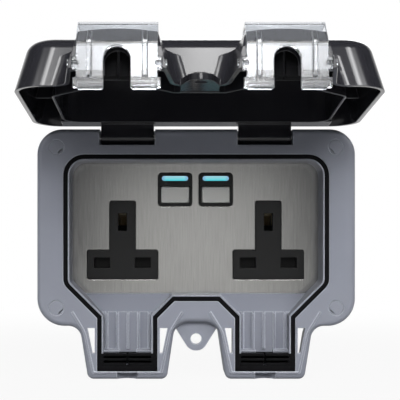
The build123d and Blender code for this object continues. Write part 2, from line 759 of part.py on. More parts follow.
def terminal_posts():
    floor = HOUSING_BACK + HOUSING_WALL
    width, height, depth = TERMINAL_SIZE
    posts = []
    for x in terminal_places():
        post = slab(Pos(x, TERMINAL_Z) * Rectangle(width, height), floor, floor + depth)
        post -= rod(x, TERMINAL_Z, TERMINAL_SCREW_R + THREAD_FIT, floor, floor + depth)
        posts.append(post)
    return posts


def terminal_screws():
    screws = []
    for x in terminal_places():
        back = HOUSING_BACK - SCREW_HEAD / 2
        screw = rod(x, TERMINAL_Z, TERMINAL_SCREW_R, back, HOUSING_BACK + TERMINAL_SIZE[2])
        screws.append(screw - driver_slot(x, TERMINAL_Z, back))
    return screws


def yoke_screws():
    screws = []
    for sx in SIDES.values():
        x = sx * YOKE_X
        screw = rod(x, 0, YOKE_SCREW_R, PLATE_BACK - YOKE_SCREW_LENGTH, PLATE_BACK)
        screw += rod(x, 0, YOKE_HEAD_R, PLATE_BACK - SCREW_HEAD, PLATE_BACK)
        screws.append(screw - driver_slot(x, 0, PLATE_BACK - DRIVER_DEPTH))
    return screws


def control_board():
    outline = Pos(0, BOARD_Z) * Rectangle(*BOARD_SIZE)
    return slab(outline, BOARD_FRONT - BOARD_THICK, BOARD_FRONT)


def press_switches():
    width, height, depth = SWITCH_BODY
    outlines = [Pos(sx * SWITCH_X, BUTTON_Z) * Rectangle(width, height) for sx in SIDES.values()]
    return [slab(outline, BOARD_FRONT, BOARD_FRONT + depth) for outline in outlines]


def relay(x):
    width, height, depth = RELAY_SIZE
    front = BOARD_FRONT - BOARD_THICK
    return slab(Pos(x, BOARD_Z) * RectangleRounded(width, height, BUTTON_ROUND), front - depth, front)


def hinge_pin(x):
    half = ARM_HALF + ARM_SIDE_GAP + POCKET_WALL
    return cross_rod(x - half, x + half, HINGE_DEPTH, HINGE_Z, PIN_R)


def lid_body(wall):
    """The lid without its legs: a tapered box with a rounded front, or the hollow inside it."""
    front = LID_FRONT - wall
    sections = []
    for depth in (LID_RIM, front):
        inset = LID_INSET * (depth - LID_RIM) / LID_DEPTH + wall
        half = [(LID_HALF - inset, BODY_TOP - inset), (LID_HALF - inset, LID_BOTTOM + inset)]
        sections.append(at(depth) * rounded_outline(half, [LID_CORNER - wall] * 2))
    body = loft(sections, ruled=True)
    return fillet(body.faces().sort_by(Axis.Y)[0].edges(), LID_FRONT_ROUND - wall)


def leg_chamfer(x, wall):
    """What the sloping end takes off a leg's front."""
    start = LID_END_Z + LEG_CHAMFER
    depth = LEG_FRONT - wall / cos(radians(45))
    reach = 4 * LEG_CHAMFER
    points = [
        (depth + LEG_CHAMFER, start + LEG_CHAMFER),
        (depth - reach, start - reach),
        (depth + reach, start - reach),
    ]
    return side_prism(points, x - 2 * LEG_ROOT_HALF, x + 2 * LEG_ROOT_HALF)


def leg_crown(x, wall):
    """Round bar up and down a leg, whose foremost part is the leg's crowned front."""
    return Pos(x, LEG_CROWN_R - LEG_FRONT, LID_BOTTOM) * Cylinder(LEG_CROWN_R - wall, 2 * BODY_HALF)


def lid_leg(x, wall):
    """One leg over a cable outlet, flared where it leaves the lid, or the hollow inside it."""
    sections = []
    for depth in (LID_RIM, LEG_FRONT - wall):
        share = (depth - LID_RIM) / LID_LEG_DEPTH
        body_inset = LID_INSET * (depth - LID_RIM) / LID_DEPTH + wall
        inset = LID_LEG_INSET * share + wall
        root = LEG_ROOT_HALF - inset
        flare = LEG_ROOT_ROUND + wall
        half = [
            (root + FLARE_SPAN * flare, LID_BOTTOM + 2 * flare),
            (root + FLARE_SPAN * flare, LID_BOTTOM + body_inset),
            (root, LID_BOTTOM + body_inset),
            (LID_EAR_HALF - inset, LID_EAR_END),
        ]
        sections.append(at(depth) * Pos(x, 0) * rounded_outline(half, [0.0, 0.0, flare, 0.0]))
    leg = (loft(sections, ruled=True) & leg_crown(x, wall)) - leg_chamfer(x, wall)
    if wall:
        end = LID_END_Z + LID_END_WALL
        leg -= block(x - LEG_ROOT_HALF, x + LEG_ROOT_HALF, LID_EAR_END - OVERRUN, end, LID_RIM, LID_FRONT)
    return leg


def lid_mass(wall):
    return lid_body(wall) + [lid_leg(sx * LEG_X, wall) for sx in SIDES.values()]


def lid_arm(x, mass):
    """Hinge arm: a block on the lid's top wall that ends in a knuckle round the pin."""
    stem_end = LID_RIM + FLANGE_THICK
    arm = cross_rod(x - ARM_HALF, x + ARM_HALF, HINGE_DEPTH, HINGE_Z, KNUCKLE_R)
    arm += slab(Pos(x, HINGE_Z) * Rectangle(2 * ARM_HALF, 2 * KNUCKLE_R), HINGE_DEPTH, stem_end)
    root = block(x - ARM_HALF, x + ARM_HALF, HINGE_Z - 2 * KNUCKLE_R, BODY_TOP, LID_RIM, LID_FRONT)
    arm += root & mass
    return arm


def padlock_tab():
    """Tab at rim level, from the sealing rib out to the eye over the frame's lug."""
    root = Pos(0, (LID_BOTTOM + OPEN_BOTTOM) / 2) * Rectangle(2 * TAB_HALF, OPEN_BOTTOM - LID_BOTTOM + LIP)
    outline = make_hull((Pos(0, EYE_Z) * Circle(LUG_R)).edges() + root.edges())
    return slab(outline, LID_RIM, LID_RIM + TAB_THICK)


def tab_notch():
    """Six-sided opening in the lid's lower wall over the tab."""
    top = LID_RIM + TAB_NOTCH
    half = [(TAB_HALF, -LID_RIM + OVERRUN), (TAB_HALF, -LID_RIM - TAB_THICK), (TAB_HALF / 4, -top)]
    outline = make_face(Polyline(*mirrored(half), close=True))
    return extrude(Pos(0, 0, LID_BOTTOM - LID_WALL) * outline, 3 * LID_WALL)


def lid_ribs(mass):
    """Sealing rib that meets the gasket, the flange along the hinge and the cross ribs at both ends."""
    middle = LIP + GASKET_WIDTH / 2
    seal_face = ring(opening_outline(), middle - SEAL_RIB / 2, middle + SEAL_RIB / 2)
    ribs = slab(seal_face, FRAME_FRONT + SEAL_GAP, LID_RIM) + (slab(seal_face, LID_RIM, LID_FRONT) & mass)
    flange_half = LID_HALF - LID_CORNER
    flange = block(-flange_half, flange_half, OPEN_TOP + middle, BODY_TOP, LID_RIM, LID_RIM + FLANGE_THICK)
    ribs += flange & mass
    for z in CROSS_RIB_Z:
        foot = LID_RIM + LID_DEPTH / 3
        rib = block(OPEN_HALF + middle, LID_HALF, z - CROSS_RIB / 2, z + CROSS_RIB / 2, foot, LID_FRONT)
        ribs += both_sides(rib & mass)
    return ribs


def lid_shell():
    mass = lid_mass(0)
    lid = mass - lid_mass(LID_WALL)
    lid -= tab_notch()
    lid += lid_ribs(mass)
    lid += padlock_tab()
    lid -= rod(0, EYE_Z, EYE_R, LID_RIM, LID_FRONT)
    bay = CLIP_HALF + BAY_GAP
    for sx in SIDES.values():
        x = sx * LEG_X
        lid += lid_arm(x, mass)
        pin_half = ARM_HALF + ARM_SIDE_GAP + POCKET_WALL
        lid -= cross_rod(x - pin_half, x + pin_half, HINGE_DEPTH, HINGE_Z, PIN_R + PIN_FIT)
        lid -= block(x - bay, x + bay, LID_EAR_END - OVERRUN, LID_END_Z, LID_RIM - OVERRUN, LID_FRONT)
        hole = CLIP_PIN_R + PIN_FIT
        lid -= cross_rod(x - LEG_ROOT_HALF, x + LEG_ROOT_HALF, CLIP_PIVOT_DEPTH, CLIP_PIVOT_Z, hole)
        ear = LEG_ROOT_HALF
        lid -= block(x - ear, x + ear, LID_EAR_END - OVERRUN, LID_END_Z, LID_EAR_FRONT, LID_FRONT)
        lid -= cable_slot(x, LID_END_Z - OVERRUN, CHANNEL_BOTTOM, LID_RIM - OVERRUN)
    return lid


def cable_slot(x, foot, top, back):
    """U-shaped way for the cable through the end of the lid's leg and through the clip."""
    middle = CLIP_TIP + U_DEPTH - U_HALF
    slot = block(x - U_HALF, x + U_HALF, foot, top, back, middle)
    return slot + Pos(x, -middle, (foot + top) / 2) * Cylinder(U_HALF, top - foot)


def clip(x):
    """Clear latch lever: end plate with a slot for the cable, a sloping part and a thumb lever."""
    slope = CLIP_LEVER_GAP / cos(radians(45))
    bend = CLIP_THICK * tan(radians(22.5))
    plate_end = LEG_FRONT - LEG_CHAMFER - CLIP_GAP + slope
    lever_back = LEG_FRONT + CLIP_LEVER_GAP
    lever_foot = CLIP_Z + lever_back - plate_end
    outer_z = CLIP_Z - CLIP_THICK
    lever_front = lever_back + CLIP_THICK
    profile = [
        (CLIP_TIP, CLIP_Z),
        (plate_end, CLIP_Z),
        (lever_back, lever_foot),
        (lever_back, CLIP_TOP_Z),
        (lever_front, CLIP_TOP_Z),
        (lever_front, lever_foot - bend),
        (plate_end + bend, outer_z),
        (CLIP_TIP, outer_z),
    ]
    lever = side_prism(profile, x - CLIP_HALF, x + CLIP_HALF)
    rise = CLIP_RIB_HEIGHT
    rib_bend = bend + rise * tan(radians(22.5))
    rib_end = LEG_FRONT - CLIP_RIB_STOP
    climb = rib_end - plate_end
    rib = [
        (CLIP_TIP + LIP_LENGTH, outer_z),
        (CLIP_TIP + LIP_LENGTH + rise, outer_z - rise),
        (plate_end + rib_bend, outer_z - rise),
        (rib_end, outer_z - rise - rib_bend + climb),
        (rib_end, CLIP_Z - CLIP_THICK / 2 + climb),
        (plate_end, CLIP_Z - CLIP_THICK / 2),
    ]
    for side in SIDES.values():
        rib_x = x + side * CLIP_RIB_X
        lever += side_prism(rib, rib_x - CLIP_RIB_WIDTH / 2, rib_x + CLIP_RIB_WIDTH / 2)
        lip = [x + side * U_HALF, x + side * (CLIP_HALF + LIP_FLARE)]
        lever += block(min(lip), max(lip), outer_z - LIP_FLARE, CLIP_Z, CLIP_TIP, CLIP_TIP + LIP_LENGTH)
        tooth = [x + side * TOOTH_INNER, x + side * TOOTH_OUTER]
        tooth_end = CLIP_TIP + TOOTH_LENGTH
        lever += block(min(tooth), max(tooth), CLIP_Z, LEG_BOTTOM - TOOTH_GAP, CLIP_TIP, tooth_end)
        boss = [x + side * (CLIP_HALF - CLIP_RIB_HEIGHT), x + side * (CLIP_HALF + BAY_GAP - BUTTON_GAP)]
        boss_half = CLIP_PIN_R + CLIP_RIB_HEIGHT
        boss_back = CLIP_PIVOT_DEPTH - boss_half
        lever += block(min(boss), max(boss), outer_z, CLIP_Z, boss_back, boss_back + 2 * boss_half)
        pin = [x + side * (CLIP_HALF - CLIP_RIB_HEIGHT), x + side * (CLIP_HALF + BAY_GAP + LID_WALL)]
        lever += cross_rod(min(pin), max(pin), CLIP_PIVOT_DEPTH, CLIP_PIVOT_Z, CLIP_PIN_R)
    return lever - cable_slot(x, outer_z - 2 * LIP_FLARE, CLIP_Z + OVERRUN, CLIP_TIP - OVERRUN)


def swung_open(piece):
    """A piece of the lid, turned from the shut position to the rest angle."""
    hinge = Axis((0, -HINGE_DEPTH, HINGE_Z), (-1, 0, 0))
    return piece.rotate(hinge, OPEN_ANGLE)


def all_nodes():
    nodes = {
        "back_box": back_box(),
        "box_seal": box_seal(),
        "front_frame": front_frame(),
        "frame_screws": frame_screws(),
        "screw_caps": screw_caps(),
        "lid_gasket": lid_gasket(),
        "face_plate": face_plate(),
        "socket_moulding": socket_moulding(),
        "rear_housing": rear_housing(),
        "earth_bar": earth_bar(),
        "neutral_bar": neutral_bar(),
        "control_board": control_board(),
        "press_switches": press_switches(),
        "terminal_posts": terminal_posts(),
        "terminal_screws": terminal_screws(),
        "yoke_screws": yoke_screws(),
        "lid_shell": swung_open(lid_shell()),
    }
    seal_back = LID_RIM - LID_GAP / 4
    seal_front = LEG_FRONT - LID_WALL
    for name, sx in SIDES.items():
        x = sx * LEG_X
        nodes[f"cable_seal_{name}"] = frame_seal(x)
        lid_seal = seal_block(x, seal_back, seal_front, False) & leg_crown(x, LID_WALL)
        nodes[f"lid_cable_seal_{name}"] = swung_open(lid_seal)
        nodes[f"hinge_pin_{name}"] = hinge_pin(x)
        nodes[f"clip_{name}"] = swung_open(clip(x))
        nodes[f"button_{name}"] = button(sx * SWITCH_X)
        nodes[f"light_bar_{name}"] = light_bar(sx * SWITCH_X)
        nodes[f"shutter_{name}"] = shutter(sx * SOCKET_X)
        nodes[f"line_contact_{name}"] = line_contact(sx * SOCKET_X)
        nodes[f"relay_{name}"] = relay(sx * RELAY_X)
    return nodes


def write_nodes():
    os.makedirs("parts", exist_ok=True)
    for name, piece in all_nodes().items():
        pieces = piece if isinstance(piece, list) else [piece]
        solids = [solid for one in pieces for solid in one.solids()]
        export_step(solids[0] if len(solids) == 1 else Compound(solids), f"parts/{name}.step")
        print(name, len(solids), "solid(s)", round(sum(solid.volume for solid in solids), 1), "mm3")


write_nodes()
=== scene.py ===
# %% [markdown]
# # An outdoor socket with its lid open
# This script dresses a weatherproof double socket. The solids come from CAD and stay as they are.
# Blender adds the finishes, the studio and the camera, so every cell below is about how a surface
# looks and how the light shows it.

# %% Load the CAD frame
import math

import bpy
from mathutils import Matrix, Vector


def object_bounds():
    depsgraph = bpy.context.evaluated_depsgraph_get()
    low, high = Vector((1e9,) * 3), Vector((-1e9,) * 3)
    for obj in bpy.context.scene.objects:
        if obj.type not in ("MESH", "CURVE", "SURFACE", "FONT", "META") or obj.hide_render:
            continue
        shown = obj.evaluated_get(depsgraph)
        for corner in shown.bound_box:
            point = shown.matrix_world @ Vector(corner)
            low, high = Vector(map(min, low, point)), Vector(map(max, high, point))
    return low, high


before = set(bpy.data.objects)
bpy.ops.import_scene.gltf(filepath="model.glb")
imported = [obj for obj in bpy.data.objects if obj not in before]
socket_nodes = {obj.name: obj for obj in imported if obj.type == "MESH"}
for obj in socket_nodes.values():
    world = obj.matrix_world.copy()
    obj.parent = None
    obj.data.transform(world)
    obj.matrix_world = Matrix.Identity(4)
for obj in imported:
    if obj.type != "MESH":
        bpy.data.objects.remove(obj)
cad_low, cad_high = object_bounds()
bpy.context.scene.view_settings.view_transform = "Standard"
print("CAD pieces:", len(socket_nodes), "box in mm:", [round(1000 * v) for v in cad_high - cad_low])

# %% [markdown]
# ## Camera
# The socket is seen from the front, from close by, so the open lid looks larger than the box below it.
# The lens axis is level and points a little low and left of the picture's middle. A real studio does
# that with a shift lens. Blender's camera shift does the same without turning the camera.

# %% Camera
PICTURE_PIXELS = 400
FOCAL_PIXELS = 1233
LENS_AXIS_PIXEL = (171, 231)
CAMERA_SPOT = (-0.0133, -0.714, -0.0018)
SENSOR_MM = 36

lens = bpy.data.cameras.new("studio_lens")
lens.sensor_width = SENSOR_MM
lens.lens = SENSOR_MM * FOCAL_PIXELS / PICTURE_PIXELS
lens.shift_x = 0.5 - LENS_AXIS_PIXEL[0] / PICTURE_PIXELS
lens.shift_y = LENS_AXIS_PIXEL[1] / PICTURE_PIXELS - 0.5
camera = bpy.data.objects.new("studio_camera", lens)
camera.location = CAMERA_SPOT
camera.rotation_euler = (math.radians(90), 0, 0)
bpy.context.scene.collection.objects.link(camera)
bpy.context.scene.camera = camera
print("lens in mm:", round(lens.lens, 1), "shift:", round(lens.shift_x, 4), round(lens.shift_y, 4))


# %% [markdown]
# ## Small helpers for node trees
# A node tree could be drawn by hand in the editor. Written as code it is easier to repeat, so a few small
# helpers add a node with its settings, do a sum, stretch a range and take a vector apart.

# %% Node helpers
def add_node(tree, kind, **settings):
    """A new node, with its attributes set, and its inputs where the name is one of its sockets."""
    node = tree.nodes.new(kind)
    for name, value in settings.items():
        if name in node.inputs:
            node.inputs[name].default_value = value
        else:
            setattr(node, name, value)
    return node


def math_node(tree, operation, first, second, clamp=False):
    """A maths node fed by sockets or plain numbers; returns its output."""
    node = add_node(tree, "ShaderNodeMath", operation=operation, use_clamp=clamp)
    for socket, value in zip(node.inputs, (first, second)):
        if isinstance(value, (int, float)):
            socket.default_value = value
        else:
            tree.links.new(value, socket)
    return node.outputs[0]


def stretch_range(tree, value, start, stop, low=0.0, high=1.0, curve="LINEAR"):
    """Takes a value that runs from start to stop and makes it run from low to high."""
    node = add_node(tree, "ShaderNodeMapRange", interpolation_type=curve)
    for name, number in (("From Min", start), ("From Max", stop), ("To Min", low), ("To Max", high)):
        node.inputs[name].default_value = number
    tree.links.new(value, node.inputs["Value"])
    return node.outputs["Result"]


def parts_of(tree, vector):
    """The X, Y and Z outputs of a vector."""
    split = add_node(tree, "ShaderNodeSeparateXYZ")
    tree.links.new(vector, split.inputs[0])
    return split.outputs


print("node helpers ready")

# %% [markdown]
# ## Backdrop
# The socket stands in front of pure white. The world is white where the camera looks, straight or through
# the clear clips, and for reflections that go behind the object. At the front it is dim, as a studio is
# behind the camera, because a bright front would turn the black lid grey. A Light Path node tells these
# rays apart. The floor below needs the same, so this is a function.

# %% World
FRONT_DIM = (0.06, 0.062, 0.068, 1)
PURE_WHITE = (1, 1, 1, 1)
BEHIND_START, BEHIND_FULL = 0.55, 0.95


def seen_white(tree, behind):
    """1 for rays from the camera or through clear plastic; for reflections, how far behind they end."""
    rays = add_node(tree, "ShaderNodeLightPath")
    shine = math_node(tree, "MULTIPLY", rays.outputs["Is Glossy Ray"], behind)
    seen = math_node(tree, "MAXIMUM", rays.outputs["Is Camera Ray"], rays.outputs["Is Transmission Ray"])
    return math_node(tree, "MAXIMUM", seen, shine)


studio = bpy.data.worlds.new("studio_world")
studio.use_nodes = True
bpy.context.scene.world = studio
tree = studio.node_tree
tree.nodes.clear()
direction = add_node(tree, "ShaderNodeTexCoord").outputs["Generated"]
behind = stretch_range(tree, parts_of(tree, direction)["Y"], BEHIND_START, BEHIND_FULL, curve="SMOOTHSTEP")
blend = add_node(tree, "ShaderNodeMixRGB", Color1=FRONT_DIM, Color2=PURE_WHITE)
tree.links.new(seen_white(tree, behind), blend.inputs["Fac"])
sky = add_node(tree, "ShaderNodeBackground", Strength=1.0)
tree.links.new(blend.outputs["Color"], sky.inputs["Color"])
world_output = add_node(tree, "ShaderNodeOutputWorld")
tree.links.new(sky.outputs[0], world_output.inputs["Surface"])
print("world nodes:", len(tree.nodes))


# %% [markdown]
# ## Soft boxes
# A black gloss lid, clear clips and brushed steel show what they mirror, so each lamp stands where one of
# them mirrors it. The front box makes the clips white. The top box and the two strips draw the streaks on
# the lid. A large dim panel behind the camera makes the bright middle of the steel plate.
# The brow box, the two keys and the front fill light the matt plastic. The lid shades much of that light,
# so the frame grows brighter from its top to its feet. The back box is for views from behind.
# Every lamp could light everything, but then no streak could be set without changing the grey of the
# frame. So the top box and the strips show only on glossy surfaces, and the front fill only on matt ones.

# %% Soft boxes
LIGHT_TARGET = Vector((0, -0.07, 0.0))


def fade_to_edges(lamp, soft):
    """Makes a soft box brightest in its middle, as the cloth of a real one is."""
    lamp.use_nodes = True
    tree = lamp.node_tree
    across = parts_of(tree, add_node(tree, "ShaderNodeNewGeometry").outputs["Parametric"])
    strength = 1.0
    for axis in ("X", "Y"):
        for start, stop in ((0.0, soft), (1.0, 1.0 - soft)):
            edge = stretch_range(tree, across[axis], start, stop, curve="SMOOTHSTEP")
            strength = math_node(tree, "MULTIPLY", edge, strength)
    tree.links.new(strength, tree.nodes["Emission"].inputs["Strength"])


def soft_box(name, turn, rise, distance, width, height, glow, soft=0.3, shows_on="all"):
    """A rectangular lamp aimed at the socket. Turn and rise are degrees from the camera's side; the
    lengths are metres; glow is its brightness; soft is the share of its size that each edge fades over."""
    turn = math.radians(turn)
    rise = math.radians(rise)
    away = Vector((math.sin(turn) * math.cos(rise), -math.cos(turn) * math.cos(rise), math.sin(rise)))
    lamp = bpy.data.lights.new(name, "AREA")
    lamp.shape = "RECTANGLE"
    lamp.size = width
    lamp.size_y = height
    lamp.energy = glow * math.pi * width * height
    fade_to_edges(lamp, soft)
    stand = bpy.data.objects.new(name, lamp)
    stand.location = LIGHT_TARGET + away * distance
    stand.rotation_euler = (-away).to_track_quat("-Z", "Y").to_euler()
    stand.visible_diffuse = shows_on != "gloss"
    stand.visible_glossy = shows_on != "matt"
    bpy.context.scene.collection.objects.link(stand)
    print(name, "watts:", round(lamp.energy, 1))


soft_box("top_soft_box", 2.6, 46.5, 1.1, 0.17, 0.36, glow=23.0, soft=0.5, shows_on="gloss")
soft_box("left_strip", -21, 44, 1.1, 0.34, 0.46, glow=19.0, soft=0.5, shows_on="gloss")
soft_box("right_strip", 31, 44, 1.1, 0.3, 0.46, glow=19.0, soft=0.5, shows_on="gloss")
soft_box("front_soft_box", 1.5, 22, 1.1, 0.56, 0.24, glow=10.5, soft=0.4)
soft_box("brow_soft_box", 2, 34, 1.1, 0.7, 0.26, glow=13.0)
soft_box("left_key", -46, 32, 1.1, 0.5, 0.7, glow=5.0)
soft_box("right_key", 46, 32, 1.1, 0.5, 0.7, glow=7.5)
soft_box("front_fill", 0.5, 22, 1.1, 0.2, 0.28, glow=32.0, shows_on="matt")
soft_box("lens_panel", 1.3, -0.9, 1.05, 0.38, 0.32, glow=0.77, soft=0.34)
soft_box("back_soft_box", 170, 30, 1.4, 0.9, 0.8, glow=4.0)

# %% [markdown]
# ## Floor
# Where the camera sees it, the floor is mostly a white glow, so it joins the backdrop without a line.
# A plain white paint would need far more light than the socket can take. Near the socket a small share of
# matt grey stays in the mix, and that share carries the soft shadow. For the light that bounces off it, the
# floor is only grey paint, so it throws little light up into the lid.

# %% Floor
FLOOR_HALF = 1.0
FLOOR_GAP = 0.0005
FLOOR_LEVEL = cad_low.z - FLOOR_GAP
FLOOR_GREY = (0.35, 0.35, 0.35, 1)
GLOW_NEAR, GLOW_FAR = 0.93, 1.0
SHADOW_NEAR, SHADOW_FAR = 0.15, 0.55
SHINE_FRONT_Y, SHINE_BACK_Y = -0.15, 0.25
SHINE_LEAST = 0.3

mesh = bpy.data.meshes.new("pale_floor")
corners = [(x * FLOOR_HALF, y * FLOOR_HALF, FLOOR_LEVEL) for x, y in ((-1, -1), (1, -1), (1, 1), (-1, 1))]
mesh.from_pydata(corners, [], [(0, 1, 2, 3)])
floor = bpy.data.objects.new("pale_floor", mesh)
bpy.context.scene.collection.objects.link(floor)
paint = bpy.data.materials.new("pale_floor")
paint.use_nodes = True
tree = paint.node_tree
tree.nodes.clear()
matt = add_node(tree, "ShaderNodeBsdfDiffuse", Color=FLOOR_GREY)
glow = add_node(tree, "ShaderNodeEmission", Strength=1.0)
spot = add_node(tree, "ShaderNodeNewGeometry").outputs["Position"]
behind = stretch_range(
    tree, parts_of(tree, spot)["Y"], SHINE_FRONT_Y, SHINE_BACK_Y, low=SHINE_LEAST, curve="SMOOTHSTEP"
)
away = add_node(tree, "ShaderNodeVectorMath", operation="LENGTH")
tree.links.new(spot, away.inputs[0])
whiteness = stretch_range(
    tree, away.outputs["Value"], SHADOW_NEAR, SHADOW_FAR, GLOW_NEAR, GLOW_FAR, curve="SMOOTHSTEP"
)
mix = add_node(tree, "ShaderNodeMixShader")
tree.links.new(math_node(tree, "MULTIPLY", seen_white(tree, behind), whiteness), mix.inputs["Fac"])
tree.links.new(matt.outputs[0], mix.inputs[1])
tree.links.new(glow.outputs[0], mix.inputs[2])
floor_output = add_node(tree, "ShaderNodeOutputMaterial")
tree.links.new(mix.outputs[0], floor_output.inputs["Surface"])
mesh.materials.append(paint)
print("floor level in mm:", round(1000 * FLOOR_LEVEL, 1))


# %% [markdown]
# ## Shared effects
# Three effects come back on many surfaces, so each is a node group.
# *Moulded grain* is the fine spark texture of a moulding tool, with a slow drift in tone.
# *Soft edge* rounds sharp CAD edges in the shading and gives a mask of where they are. The finishes paint
# a thin highlight line along that mask, and on the black socket fronts a line of shade.
# *Brushed grain* is noise pulled out along one direction, as an abrasive belt leaves it.

# %% Node groups
NUMBER, DIRECTION = "NodeSocketFloat", "NodeSocketVector"
GRAIN_DETAIL, DRIFT_DETAIL, STREAK_DETAIL = 2.0, 4.0, 1.0
EDGE_SAMPLES = 6


def new_group(name, inputs, outputs):
    """An empty shader node group with named sockets, and its two end nodes."""
    group = bpy.data.node_groups.new(name, "ShaderNodeTree")
    for label, kind, value in inputs:
        socket = group.interface.new_socket(label, in_out="INPUT", socket_type=kind)
        socket.default_value = value
    for label, kind in outputs:
        group.interface.new_socket(label, in_out="OUTPUT", socket_type=kind)
    return group, add_node(group, "NodeGroupInput"), add_node(group, "NodeGroupOutput")


moulded_grain, given, result = new_group(
    "Moulded grain",
    [("Grain per metre", NUMBER, 2500.0), ("Drift per metre", NUMBER, 30.0)],
    [("Height", NUMBER), ("Drift", NUMBER)],
)
place = add_node(moulded_grain, "ShaderNodeTexCoord")
for source, target, detail in (
    ("Grain per metre", "Height", GRAIN_DETAIL),
    ("Drift per metre", "Drift", DRIFT_DETAIL),
):
    noise = add_node(moulded_grain, "ShaderNodeTexNoise", Detail=detail)
    moulded_grain.links.new(place.outputs["Object"], noise.inputs["Vector"])
    moulded_grain.links.new(given.outputs[source], noise.inputs["Scale"])
    moulded_grain.links.new(noise.outputs["Fac"], result.inputs[target])

soft_edge, given, result = new_group(
    "Soft edge",
    [("Radius", NUMBER, 0.0004), ("Sharpness", NUMBER, 3.0)],
    [("Normal", DIRECTION), ("Edge", NUMBER)],
)
rounded = add_node(soft_edge, "ShaderNodeBevel", samples=EDGE_SAMPLES)
plain = add_node(soft_edge, "ShaderNodeNewGeometry")
likeness = add_node(soft_edge, "ShaderNodeVectorMath", operation="DOT_PRODUCT")
soft_edge.links.new(given.outputs["Radius"], rounded.inputs["Radius"])
soft_edge.links.new(rounded.outputs["Normal"], likeness.inputs[0])
soft_edge.links.new(plain.outputs["Normal"], likeness.inputs[1])
unlike = math_node(soft_edge, "SUBTRACT", 1.0, likeness.outputs["Value"])
edge = math_node(soft_edge, "MULTIPLY", unlike, given.outputs["Sharpness"], clamp=True)
soft_edge.links.new(rounded.outputs["Normal"], result.inputs["Normal"])
soft_edge.links.new(edge, result.inputs["Edge"])

brushed_grain, given, result = new_group(
    "Brushed grain",
    [("Across per metre", NUMBER, 1400.0), ("Along per metre", NUMBER, 60.0)],
    [("Streak", NUMBER)],
)
place = add_node(brushed_grain, "ShaderNodeTexCoord")
scales = add_node(brushed_grain, "ShaderNodeCombineXYZ")
brushed_grain.links.new(given.outputs["Across per metre"], scales.inputs["X"])
brushed_grain.links.new(given.outputs["Along per metre"], scales.inputs["Y"])
brushed_grain.links.new(given.outputs["Along per metre"], scales.inputs["Z"])
pulled = add_node(brushed_grain, "ShaderNodeVectorMath", operation="MULTIPLY")
brushed_grain.links.new(place.outputs["Object"], pulled.inputs[0])
brushed_grain.links.new(scales.outputs[0], pulled.inputs[1])
noise = add_node(brushed_grain, "ShaderNodeTexNoise", Scale=1.0, Detail=STREAK_DETAIL)
brushed_grain.links.new(pulled.outputs[0], noise.inputs["Vector"])
brushed_grain.links.new(noise.outputs["Fac"], result.inputs["Streak"])
print("groups:", [group.name for group in (moulded_grain, soft_edge, brushed_grain)])


# %% [markdown]
# ## Surfaces
# Most pieces are moulded plastic, pressed rubber or metal, and each is a Principled shader. What varies
# over the surface comes from the groups: two tones mixed by the drift, a painted highlight line along the
# edges (a painted shade line on the black socket fronts), a roughness that wanders a little and a bump.
# One function lays that out, and each finish gives its own values. What is the same all over is set on
# the shader itself.

# %% Functions for a finish
GRAIN_HEIGHT = 0.0002


def place_group(tree, group, **values):
    """A shared effect in a material's tree, with its own values."""
    node = add_node(tree, "ShaderNodeGroup")
    node.node_tree = group
    for name, value in values.items():
        node.inputs[name.replace("_", " ")].default_value = value
    return node


def two_tone(tree, mask, dark, light):
    """A colour that goes from dark to light with a mask."""
    ramp = add_node(tree, "ShaderNodeValToRGB")
    ramp.color_ramp.elements[0].color = (*dark, 1)
    ramp.color_ramp.elements[1].color = (*light, 1)
    tree.links.new(mask, ramp.inputs["Fac"])
    return ramp.outputs["Color"]


def blend_colours(tree, mask, under, over):
    """Lays a plain colour over another one where the mask is 1."""
    mix = add_node(tree, "ShaderNodeMixRGB", Color2=(*over, 1))
    tree.links.new(mask, mix.inputs["Fac"])
    tree.links.new(under, mix.inputs["Color1"])
    return mix.outputs["Color"]


def start_material(name):
    """A new material with its node tree and its Principled shader."""
    material = bpy.data.materials.new(name)
    material.use_nodes = True
    tree = material.node_tree
    return material, tree, tree.nodes["Principled BSDF"]


def add_relief(tree, shader, height, rim, bump, depth):
    """A fine bump on top of the rounded edges."""
    relief = add_node(tree, "ShaderNodeBump", Strength=bump, Distance=depth)
    tree.links.new(height, relief.inputs["Height"])
    tree.links.new(rim.outputs["Normal"], relief.inputs["Normal"])
    tree.links.new(relief.outputs["Normal"], shader.inputs["Normal"])


def moulded(
    name, dark, light, edge, rough, grain, bump,
    edge_radius=0.0004, sharpness=3.0, specular=0.5, metallic=0.0,
):
    """A moulded finish: two tones, an edge tone painted as highlight (as shade where it is darker),
    wandering roughness and a fine bump.
    """
    material, tree, shader = start_material(name)
    texture = place_group(tree, moulded_grain, Grain_per_metre=grain)
    rim = place_group(tree, soft_edge, Radius=edge_radius, Sharpness=sharpness)
    drift = texture.outputs["Drift"]
    colour = blend_colours(tree, rim.outputs["Edge"], two_tone(tree, drift, dark, light), edge)
    tree.links.new(colour, shader.inputs["Base Color"])
    tree.links.new(stretch_range(tree, drift, 0.0, 1.0, *rough), shader.inputs["Roughness"])
    add_relief(tree, shader, texture.outputs["Height"], rim, bump, GRAIN_HEIGHT)
    shader.inputs["Specular IOR Level"].default_value = specular
    shader.inputs["Metallic"].default_value = metallic
    return material


def dress(material, *names):
    """Puts a material on CAD nodes by name."""
    for name in names:
        mesh = socket_nodes[name].data
        mesh.materials.clear()
        mesh.materials.append(material)
    print(material.name, "on", len(names), "pieces")


print("finish functions ready")
